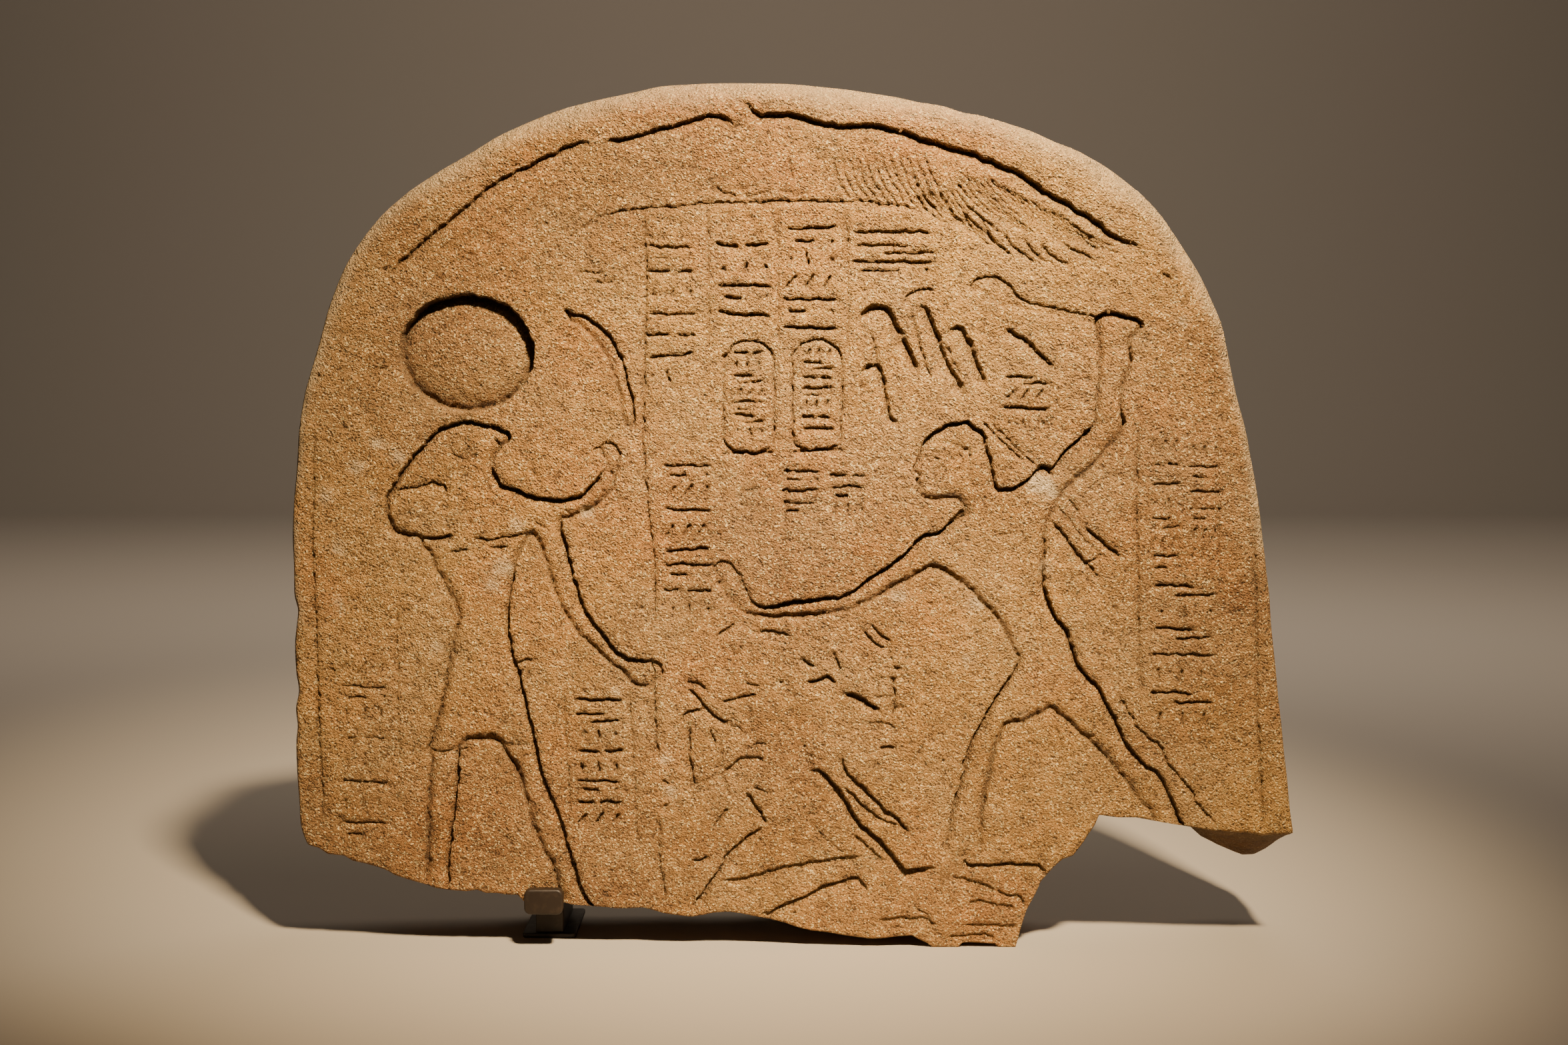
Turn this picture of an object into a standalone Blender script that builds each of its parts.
"""Round-topped stone stele in sunk relief, broken off along the foot, and the steel bracket that holds it."""
import math

import bmesh
import bpy
from mathutils import Matrix

# Driving sizes, in metres
stone_height = 0.92
stone_depth = 0.160
break_edge = 0.0020          # worn edge along the break
back_edge = 0.0080
figure_depth = 0.0060        # outline of a sunk figure below the face
slight_depth = 0.0055        # the same for the blade and the mace
figure_swell = 0.0040        # how far the figure's middle rises again
figure_bank = 0.0050         # width of the slope along the outline
slight_bank = 0.0028
disc_depth = 0.0125
disc_swell = 0.0110
disc_moat = 0.0030           # flat floor between the recess's wall and the dome
ring_width = 0.0042
ring_depth = 0.0036
contact_gap = 0.0003         # between the stone and the bracket
lip_width = 0.0415
lip_thickness = 0.0137
lip_height = 0.0274
lip_radius = 0.0070
lip_edge = 0.0025
shelf_width = 0.0360
shelf_thickness = 0.0090
shelf_edge = 0.0015
shelf_stop = 0.010           # how far the shelf ends before the stone's back
seat_margin = 0.0030         # flat of the stone beyond the shelf on either side
leg_width = 0.0310
leg_setback = 0.045          # from the stone's face to the leg
leg_stop = 0.005             # from the leg's back to the shelf's end
leg_edge = 0.0030
foot_flare = 0.0135          # how far the foot spreads beyond the leg's sides
foot_step = 0.0060           # the same in front and behind
foot_thickness = 0.0050
foot_edge = 0.0050
sink = 0.0020                # how far one piece of the bracket runs into the next
clear = 0.0060               # how far a cutter stands out of the face
stone_look = ((0.36, 0.21, 0.11), 0.9, 0.0)       # colour, roughness, metallic
steel_look = ((0.03, 0.024, 0.02), 0.45, 0.6)

# The face is drawn in thousandths of the stone's height: across from its middle, up from the ground
unit = stone_height / 1000
front = -(stone_depth - lip_thickness - contact_gap) / 2
seat_middle = -289
seat_height = 52.5
seat_half = (shelf_width / 2 + seat_margin) / unit

side_outline = [
    (-565, 121), (-568, 127), (-573, 145), (-574, 170), (-576, 200), (-577, 238), (-575, 260), (-577, 280),
    (-573, 300), (-576, 322), (-577, 355), (-574, 382), (-573, 396), (-577, 412), (-577, 445), (-578, 480),
    (-576, 520), (-572, 560), (-569, 602), (-563, 640), (-557, 662), (-550, 685), (-545, 702), (-540, 720),
    (-535, 738), (-527, 760), (-519, 780), (-511, 796), (-499, 815), (-485, 834), (-468, 853), (-452, 867),
    (-436, 880), (-420, 890), (-400, 903), (-380, 914), (-360, 926), (-340, 939), (-320, 948), (-300, 957),
    (-280, 965), (-260, 972), (-240, 977), (-220, 982), (-200, 986), (-180, 990), (-165, 994), (-150, 997),
    (-130, 998), (-110, 999), (-90, 1000), (-50, 1000), (-10, 999.4), (10, 998), (30, 996), (60, 993),
    (80, 990), (100, 987), (120, 984), (140, 979), (160, 976), (178, 973), (190, 967), (198, 965),
    (210, 965), (222, 961), (240, 956), (260, 950), (280, 943), (300, 933), (320, 926), (340, 916),
    (356, 907), (368, 899), (381, 889), (392, 880), (402, 871), (413, 860), (421, 851), (430, 839),
    (443, 820), (456, 800), (469, 779), (478, 759), (487, 739), (494, 719), (498, 700), (502, 680),
    (506, 660), (510, 640), (516, 620), (521, 602), (525, 580), (529, 560), (533, 540), (536, 520),
    (539, 500), (541, 480), (544, 460), (546, 440), (549, 420), (551, 400), (552, 380), (555, 355),
    (559, 320), (562, 290), (566, 260), (569, 230), (573, 200), (577, 160), (580, 142),
]
# Broken foot, right to left: across, up at the front, up at the middle of the depth, up at the back
break_outline = [
    (580, 134, 99, 98), (571, 134, 92, 92), (558, 134, 85, 84), (545, 133, 85, 80), (530, 135, 91, 84),
    (515, 136, 97, 90), (500, 137, 105, 98), (485, 138, 118, 112), (468, 141, 134, 128), (448, 144, 138, 134),
    (430, 147, 140, 138), (414, 150, 142, 139), (398, 153, 146, 140), (376, 153, 147, 143), (355, 156, 149, 146),
    (350, 144, 140, 142), (344, 135, 133, 137), (337, 124, 124, 130), (332, 117, 119, 125), (325, 108, 110, 119),
    (313, 104, 106, 112), (303, 95, 98, 104), (295, 86, 90, 96), (288, 78, 82, 88), (283, 66, 70, 78),
    (278, 56, 58, 66), (272, 45, 47, 54), (267, 30, 33, 40), (263, 15, 18, 24), (259, 0, 0, 0),
    (240, 0, 0, 0), (234, 4, 6, 5), (220, 5, 7, 6), (205, 6, 8, 7), (197, 5, 5, 5), (192, 0, 0, 0),
    (162, 0, 0, 0), (156, 5, 6, 6), (147, 9, 11, 10), (138, 14, 15, 14), (122, 13, 14, 16), (108, 11, 13, 17),
    (92, 10, 14, 18), (75, 12, 16, 19), (55, 15, 18, 22), (38, 18, 20, 25), (20, 20, 24, 27), (4, 24, 28, 31),
    (-10, 29, 32, 36), (-26, 33, 36, 38), (-42, 36, 38, 42), (-60, 40, 42, 46), (-76, 42, 44, 47), (-92, 41, 44, 48),
    (-106, 38, 42, 46), (-120, 36, 40, 45), (-136, 38, 41, 46), (-150, 40, 43, 47), (-160, 43, 45, 50),
    (-175, 47, 48, 52), (-192, 46, 48, 53), (-206, 46, 48, 54), (-225, 48, 51, 55), (-242, 49, 51, 54),
    (-257, 50, 51, 52), (seat_middle + seat_half, seat_height, seat_height, seat_height),
    (seat_middle - seat_half, seat_height, seat_height, seat_height), (-321, 62, 61, 60), (-332, 62, 64, 66),
    (-345, 64, 66, 68), (-358, 64, 67, 70), (-368, 68, 70, 72), (-380, 66, 70, 74), (-390, 67, 71, 76),
    (-403, 68, 72, 78), (-416, 70, 74, 80), (-430, 75, 78, 84), (-448, 80, 83, 88), (-463, 85, 87, 93),
    (-473, 91, 92, 98), (-484, 95, 96, 103), (-498, 99, 101, 106), (-512, 102, 105, 110), (-522, 108, 109, 114),
    (-541, 110, 112, 118), (-551, 117, 117, 121),
]
# Rounding of the face's rim at heights up the two sides, in thousandths, and its depth as a share of its width.
# Between face and back the break passes its middle heights at a share of the depth.
rim_flatness = 0.8
break_belly = 0.6
rim_left = [(120, 6), (300, 10), (600, 13), (760, 18), (900, 30), (1000, 40)]
rim_right = [(130, 5), (400, 9), (640, 16), (780, 30), (900, 38), (1000, 40)]

god_outline = [
    (-428, 30), (-427, 120), (-428, 150), (-426, 180), (-423, 205), (-422, 220), (-425, 232), (-418, 255),
    (-411, 280), (-405, 305), (-401, 330), (-397, 350), (-391, 372), (-389, 390), (-393, 404), (-400, 417),
    (-407, 430), (-415, 445), (-420, 457), (-428, 468), (-436, 477), (-457, 484), (-466, 492), (-471, 503),
    (-471, 516), (-467, 530), (-450, 557), (-440, 571), (-428, 584), (-415, 598), (-402, 606), (-386, 611),
    (-370, 611), (-352, 608), (-338, 605), (-327, 598), (-321, 590), (-323, 581), (-332, 577), (-341, 571),
    (-346, 561), (-341, 551), (-334, 541), (-322, 537), (-298, 527), (-285, 526), (-270, 523), (-257, 526),
    (-243, 530), (-235, 538), (-221, 556), (-217, 566), (-222, 576), (-222, 586), (-212, 591), (-203, 586),
    (-198, 572), (-201, 556), (-205, 541), (-213, 528), (-224, 517), (-240, 507), (-256, 501), (-267, 497),
    (-259, 470), (-257, 455), (-249, 425), (-241, 398), (-225, 376), (-207, 351), (-198, 344), (-185, 339),
    (-160, 337), (-151, 329), (-151, 317), (-160, 309), (-181, 304), (-200, 321), (-224, 342), (-247, 363),
    (-264, 387), (-276, 414), (-285, 444), (-297, 474), (-306, 478), (-319, 448), (-323, 420), (-328, 380),
    (-323, 350), (-320, 335), (-313, 315), (-307, 285), (-300, 255), (-294, 225), (-287, 195), (-280, 182),
    (-270, 150), (-263, 120), (-255, 90), (-252, 75), (-246, 58), (-238, 30), (-250, 30), (-262, 62),
    (-279, 89), (-293, 115), (-303, 140), (-312, 170), (-320, 198), (-330, 218), (-343, 238), (-363, 243),
    (-385, 234), (-386, 205), (-390, 172), (-394, 140), (-399, 100), (-400, 30),
]
king_outline = [
    (178, 523), (188, 521), (195, 515), (198, 510), (190, 503), (176, 494), (166, 487), (150, 483), (140, 475),
    (120, 455), (98, 440), (75, 424), (62, 415), (45, 411), (15, 408), (-20, 402), (-35, 401), (-46, 406),
    (-54, 418), (-64, 440), (-73, 451), (-85, 452), (-93, 445), (-90, 430), (-80, 412), (-66, 396), (-46, 386),
    (-20, 384), (20, 386), (60, 392), (90, 405), (120, 422), (150, 438), (160, 441), (170, 438), (195, 423),
    (215, 403), (235, 382), (249, 355), (258, 332), (238, 302), (218, 267), (199, 228), (196, 205), (190, 185),
    (184, 165), (180, 140), (179, 108), (217, 108), (219, 125), (222, 160), (228, 193), (232, 215), (245, 256),
    (265, 262), (290, 274), (299, 277), (318, 261), (340, 243), (360, 222), (380, 200), (396, 178), (415, 155),
    (424, 120), (458, 120), (452, 148), (442, 170), (434, 190), (420, 210), (408, 217), (388, 240), (377, 265),
    (365, 285), (356, 305), (340, 320), (326, 342), (318, 368), (303, 390), (294, 410), (290, 435), (291, 460),
    (291, 485), (298, 504), (311, 528), (336, 552), (360, 576), (374, 591), (381, 606), (378, 640), (383, 662),
    (389, 682), (386, 702), (397, 716), (401, 726), (383, 734), (362, 738), (346, 733), (345, 716), (349, 690),
    (346, 650), (343, 611), (328, 596), (315, 585), (306, 575), (298, 562), (284, 560), (270, 550), (256, 539),
    (240, 536), (233, 540), (230, 558), (226, 578), (219, 598), (212, 606), (203, 612), (190, 613), (178, 610),
    (165, 604), (154, 596), (147, 587), (143, 573), (136, 558), (142, 551), (139, 544), (143, 538), (141, 530),
    (149, 523), (163, 521),
]
blade_outline = [
    (-262, 740), (-245, 736), (-230, 729), (-215, 717), (-206, 705), (-199, 690), (-192, 676), (-188, 660),
    (-183, 638), (-181, 612), (-193, 604), (-199, 625), (-203, 650), (-211, 676), (-222, 698), (-238, 716),
    (-256, 728),
]
mace_outline = [
    (200, 766), (208, 774), (220, 780), (233, 779), (246, 770), (258, 756), (270, 750), (300, 743), (348, 733),
    (346, 723), (300, 732), (266, 739), (250, 744), (238, 742), (226, 750), (214, 760),
]
# Lines cut into the face: width and depth in metres, then the way. Their ends are narrower by a share.
line_end = 0.45
line_lift = 0.0010
line_cuts = [
    (0.0050, 0.0048, [(-458, 784), (-440, 802), (-425, 814), (-400, 835), (-388, 845), (-370, 860), (-345, 880),
                      (-318, 896), (-300, 902), (-280, 913), (-255, 925), (-235, 930)]),
    (0.0055, 0.0050, [(-213, 931), (-185, 935), (-160, 942), (-138, 947), (-112, 956), (-88, 960), (-70, 953)]),
    (0.0060, 0.0052, [(-53, 972), (-40, 961), (-20, 960), (0, 960), (20, 954), (50, 948), (90, 948), (120, 942),
                      (160, 928), (200, 917), (230, 905), (258, 893), (280, 878), (310, 861), (340, 842),
                      (365, 823), (390, 813)]),
    (0.0040, 0.0046, [(-456, 484), (-430, 480), (-400, 480), (-365, 478), (-330, 480), (-306, 482)]),
    (0.0030, 0.0042, [(-458, 532), (-440, 537), (-420, 540), (-402, 539)]),
    (0.0030, 0.0042, [(-424, 234), (-405, 233), (-388, 236)]),
    (0.0050, 0.0052, [(25, 207), (36, 203), (50, 185), (60, 172), (68, 157), (78, 144), (95, 129), (110, 113),
                      (122, 97), (131, 88), (146, 91), (161, 94)]),
    (0.0045, 0.0048, [(57, 222), (61, 207), (80, 188), (98, 170), (107, 159), (120, 154)]),
    (0.0040, 0.0042, [(62, 187), (75, 172), (100, 152), (112, 147), (134, 134)]),
    (0.0055, 0.0050, [(62, 298), (75, 290), (97, 279)]),
    (0.0050, 0.0048, [(18, 313), (30, 312), (48, 312)]),
    (0.0045, 0.0048, [(202, 99), (220, 96), (262, 98), (284, 98), (291, 90)]),
    (0.0035, 0.0040, [(-35, 142), (-60, 125), (-78, 107), (-92, 82), (-108, 60), (-119, 49)]),
    (0.0035, 0.0040, [(-32, 40), (0, 55), (40, 73), (68, 81), (80, 78), (86, 68)]),
    (0.0035, 0.0035, [(-122, 303), (-103, 286), (-90, 271), (-76, 265)]),
    (0.0035, 0.0035, [(-131, 267), (-118, 279), (-106, 281)]),
    (0.0030, 0.0034, [(-121, 258), (-119, 215), (-116, 188)]),
    (0.0035, 0.0035, [(-80, 208), (-60, 223), (-36, 222)]),
    (0.0035, 0.0035, [(-52, 180), (-42, 164), (-32, 149)]),
    (0.0045, 0.0046, [(299, 496), (312, 480), (335, 452), (350, 436)]),
    (0.0045, 0.0046, [(338, 489), (358, 471), (376, 458)]),
    (0.0035, 0.0040, [(218, 613), (240, 590), (263, 568)]),
    (0.0035, 0.0038, [(378, 297), (400, 258), (422, 238), (436, 215), (448, 198), (470, 170), (489, 146)]),
]
# Sun disc: middle and half axes. Ring frames of the two names: middle across, half width, foot, shoulder
disc_middle = (-374, 690.5)
disc_radii = (78, 67.5)
name_rings = [(-51, 29, 590, 676), (27, 28, 592, 678)]
ring_foot = 0.45             # height of a ring's foot curve as a share of its half width


def clear_scene():
    for leftover in list(bpy.data.objects):
        bpy.data.objects.remove(leftover, do_unlink=True)


def collection_named(name):
    collection = bpy.data.collections.new(name)
    bpy.context.scene.collection.children.link(collection)
    return collection


def object_from(bm, name, collection):
    bmesh.ops.recalc_face_normals(bm, faces=bm.faces)
    mesh = bpy.data.meshes.new(name)
    bm.to_mesh(mesh)
    bm.free()
    thing = bpy.data.objects.new(name, mesh)
    collection.objects.link(thing)
    return thing


def plain_material(name, colour, roughness, metallic):
    material = bpy.data.materials.new(name)
    material.use_nodes = True
    shader = material.node_tree.nodes["Principled BSDF"]
    shader.inputs["Base Color"].default_value = (*colour, 1)
    shader.inputs["Roughness"].default_value = roughness
    shader.inputs["Metallic"].default_value = metallic
    return material


def between(table, value):
    """Value read off a list of pairs, straight between neighbours."""
    if value <= table[0][0]:
        return table[0][1]
    for (a, low), (b, high) in zip(table, table[1:]):
        if value <= b:
            return low + (high - low) * (value - a) / (b - a)
    return table[-1][1]


def inward(points):
    """Unit vectors that point into a closed outline."""
    count = len(points)
    area = sum(points[i - 1][0] * points[i][1] - points[i][0] * points[i - 1][1] for i in range(count))
    turn = 1 if area < 0 else -1
    steps = []
    for i in range(count):
        (ax, ay), (bx, by) = points[i - 1][:2], points[(i + 1) % count][:2]
        length = math.hypot(bx - ax, by - ay) * turn
        steps.append(((by - ay) / length, -(bx - ax) / length))
    return steps


def loft(bm, rings):
    """Skin between rings of equal count, capped at both ends."""
    count = len(rings[0])
    for lower, upper in zip(rings, rings[1:]):
        for i in range(count):
            j = (i + 1) % count
            bm.faces.new((lower[i], lower[j], upper[j], upper[i]))
    bm.faces.new(rings[0])
    bm.faces.new(rings[-1])


def make_stone(collection):
    outline = [(u, v, v, v) for u, v in side_outline] + break_outline
    sides = len(side_outline)
    normals = inward([(u, v) for u, v, _, _ in outline])
    rims = []
    for i, (u, v, _, _) in enumerate(outline):
        rim = between(rim_left if u < 0 else rim_right, v) if i < sides else break_edge / unit
        rims.append(rim)
    bm = bmesh.new()
    rings = []
    for turn in (0, 22, 45, 68, 90):
        drop, spread = 1 - math.cos(math.radians(turn)), 1 - math.sin(math.radians(turn))
        ring = []
        for (u, v, _, _), (nu, nv), rim in zip(outline, normals, rims):
            ring.append(bm.verts.new(((u + nu * rim * spread) * unit, front + rim * rim_flatness * drop * unit,
                                      (v + nv * rim * spread) * unit)))
        rings.append(ring)
    for depth, shrink, column in ((stone_depth * break_belly, 1, 2), (stone_depth - back_edge, 2, 3)):
        ring = []
        for i, (point, (nu, nv)) in enumerate(zip(outline, normals)):
            inset = shrink if i < sides else 0
            ring.append(bm.verts.new(((point[0] + nu * inset) * unit, front + depth,
                                      (point[column] + nv * inset) * unit)))
        rings.append(ring)
    ring = []
    for i, (point, (nu, nv)) in enumerate(zip(outline, normals)):
        inset = back_edge / unit if i < sides else break_edge / unit
        ring.append(bm.verts.new(((point[0] + nu * inset) * unit, front + stone_depth,
                                  (point[3] + nv * inset) * unit)))
    rings.append(ring)
    loft(bm, rings)
    return object_from(bm, "stele", collection)


def sunk_figure(name, outline, depth, bank, collection):
    """Cutter whose floor is deepest along the outline and swells again toward the middle."""
    normals = inward(outline)
    bank = bank / unit
    levels = ((0, front - clear), (0, front + depth), (bank, front + depth - figure_swell))
    bm = bmesh.new()
    rings = []
    for inset, level in levels:
        rings.append([bm.verts.new(((u + nu * inset) * unit, level, (v + nv * inset) * unit))
                      for (u, v), (nu, nv) in zip(outline, normals)])
    loft(bm, rings)
    return object_from(bm, name, collection)


def disc_recess(name, middle, radii, collection):
    """Cutter for an upright oval recess with a flat floor."""
    bm = bmesh.new()
    drum = bmesh.ops.create_cone(bm, cap_ends=True, segments=48, radius1=1, radius2=1, depth=1)["verts"]
    bmesh.ops.rotate(bm, verts=drum, matrix=Matrix.Rotation(math.radians(90), 3, "X"))
    bmesh.ops.scale(bm, verts=drum, vec=(radii[0] * unit, clear + disc_depth, radii[1] * unit))
    bmesh.ops.translate(bm, verts=drum, vec=(middle[0] * unit, front + (disc_depth - clear) / 2, middle[1] * unit))
    return object_from(bm, name, collection)


def disc_dome(name, middle, radii, collection):
    """Flattened ball that stands in the recess and ends just under the face."""
    bm = bmesh.new()
    ball = bmesh.ops.create_uvsphere(bm, u_segments=36, v_segments=16, radius=1)["verts"]
    bmesh.ops.rotate(bm, verts=ball, matrix=Matrix.Rotation(math.radians(90), 3, "X"))
    bmesh.ops.scale(bm, verts=ball, vec=(radii[0] * unit - disc_moat, disc_swell, radii[1] * unit - disc_moat))
    bmesh.ops.translate(bm, verts=ball, vec=(middle[0] * unit, front + disc_depth, middle[1] * unit))
    return object_from(bm, name, collection)


def line_cut(name, width, depth, way, collection):
    """Cutter of V section along an open way, narrower at its ends."""
    last = len(way) - 1
    bm = bmesh.new()
    rings = []
    for i, (u, v) in enumerate(way):
        (ax, ay), (bx, by) = way[max(i - 1, 0)], way[min(i + 1, last)]
        length = math.hypot(bx - ax, by - ay)
        nu, nv = (by - ay) / length, -(bx - ax) / length
        taper = line_end if i in (0, last) else 1
        half = width / 2 * taper * (1 + line_lift / depth) / unit
        rings.append([bm.verts.new(((u + nu * half) * unit, front - line_lift, (v + nv * half) * unit)),
                      bm.verts.new((u * unit, front + depth * taper, v * unit)),
                      bm.verts.new(((u - nu * half) * unit, front - line_lift, (v - nv * half) * unit))])
    loft(bm, rings)
    return object_from(bm, name, collection)


def name_ring(name, middle, half, foot, shoulder, collection):
    """Cutter for an upright ring frame: round above, flatter below."""
    bm = bmesh.new()
    outline = [(middle + half * math.cos(math.radians(a)), shoulder + half * math.sin(math.radians(a)))
               for a in range(180, -1, -20)]
    outline += [(middle + half * math.cos(math.radians(a)), foot + ring_foot * half * math.sin(math.radians(a)))
                for a in range(0, -181, -20)]
    normals = inward(outline)
    band = ring_width / unit
    rings = []
    for inset, level in ((0, front - line_lift), (band / 3, front + ring_depth), (band * 2 / 3, front + ring_depth),
                         (band, front - line_lift)):
        rings.append([bm.verts.new(((u + nu * inset) * unit, level, (v + nv * inset) * unit))
                      for (u, v), (nu, nv) in zip(outline, normals)])
    count = len(outline)
    for lower, upper in zip(rings, rings[1:] + rings[:1]):
        for i in range(count):
            j = (i + 1) % count
            bm.faces.new((lower[i], lower[j], upper[j], upper[i]))
    return object_from(bm, name, collection)


def rounded_block(bm, size, low, radius, axis):
    """Box from its least corner, with the four edges that run along one axis rounded."""
    made = bmesh.ops.create_cube(bm, size=1)["verts"]
    bmesh.ops.scale(bm, vec=size, verts=made)
    bmesh.ops.translate(bm, vec=[low[k] + size[k] / 2 for k in range(3)], verts=made)
    edges = {e for v in made for e in v.link_edges}
    chosen = [e for e in edges if abs((e.verts[0].co - e.verts[1].co)[axis]) > 1e-6]
    bmesh.ops.bevel(bm, geom=chosen, offset=radius, segments=5, profile=0.5, affect="EDGES")


def make_bracket(collection, tools):
    """Lip in front of the stone, shelf under it, leg and foot."""
    middle = seat_middle * unit
    seat = seat_height * unit - contact_gap
    shelf_foot = seat - shelf_thickness
    lip_back = front - contact_gap
    lip_front = lip_back - lip_thickness
    lip = bmesh.new()
    rounded_block(lip, (lip_width, lip_thickness, lip_height), (middle - lip_width / 2, lip_front, shelf_foot),
                  lip_radius, 1)
    rim = [e for e in lip.edges if all(abs(v.co.y - lip_front) < 1e-6 for v in e.verts)]
    bmesh.ops.bevel(lip, geom=rim, offset=lip_edge, segments=3, profile=0.5, affect="EDGES")
    body = object_from(lip, "support_bracket", collection)
    shelf = bmesh.new()
    shelf_front = lip_back - lip_thickness / 2
    shelf_end = front + stone_depth - shelf_stop
    rounded_block(shelf, (shelf_width, shelf_end - shelf_front, shelf_thickness),
                  (middle - shelf_width / 2, shelf_front, shelf_foot), shelf_edge, 1)
    leg = bmesh.new()
    leg_foot = foot_thickness - sink
    leg_front = front + leg_setback
    leg_depth = shelf_end - leg_stop - leg_front
    rounded_block(leg, (leg_width, leg_depth, shelf_foot + sink - leg_foot),
                  (middle - leg_width / 2, leg_front, leg_foot), leg_edge, 2)
    foot = bmesh.new()
    foot_width = leg_width + 2 * foot_flare
    rounded_block(foot, (foot_width, leg_depth + 2 * foot_step, foot_thickness),
                  (middle - foot_width / 2, leg_front - foot_step, 0), foot_edge, 2)
    for name, bm in (("shelf_bar", shelf), ("leg_block", leg), ("foot_plate", foot)):
        cut_or_join(body, object_from(bm, name, tools), "UNION")
    return body


def cut_or_join(body, tool, operation):
    modifier = body.modifiers.new(tool.name, "BOOLEAN")
    modifier.operation = operation
    modifier.solver = "EXACT"
    modifier.object = tool
    tool.hide_render = True
    tool.display_type = "WIRE"


def main():
    clear_scene()
    parts = collection_named("stele_on_bracket")
    cutters = collection_named("cutters")
    cutters.hide_render = True
    stone = make_stone(parts)
    cut_or_join(stone, disc_recess("disc_recess", disc_middle, disc_radii, cutters), "DIFFERENCE")
    cut_or_join(stone, disc_dome("disc_dome", disc_middle, disc_radii, cutters), "UNION")
    tools = [sunk_figure("god", god_outline, figure_depth, figure_bank, cutters),
             sunk_figure("king", king_outline, figure_depth, figure_bank, cutters),
             sunk_figure("blade", blade_outline, slight_depth, slight_bank, cutters),
             sunk_figure("mace", mace_outline, slight_depth, slight_bank, cutters)]
    for number, (width, depth, way) in enumerate(line_cuts):
        tools.append(line_cut(f"line_{number:02d}", width, depth, way, cutters))
    for number, ring in enumerate(name_rings):
        tools.append(name_ring(f"name_ring_{number}", *ring, cutters))
    for tool in tools:
        cut_or_join(stone, tool, "DIFFERENCE")
    stone.data.materials.append(plain_material("brown_stone", *stone_look))
    bracket = make_bracket(parts, cutters)
    bracket.data.materials.append(plain_material("dark_steel", *steel_look))


main()
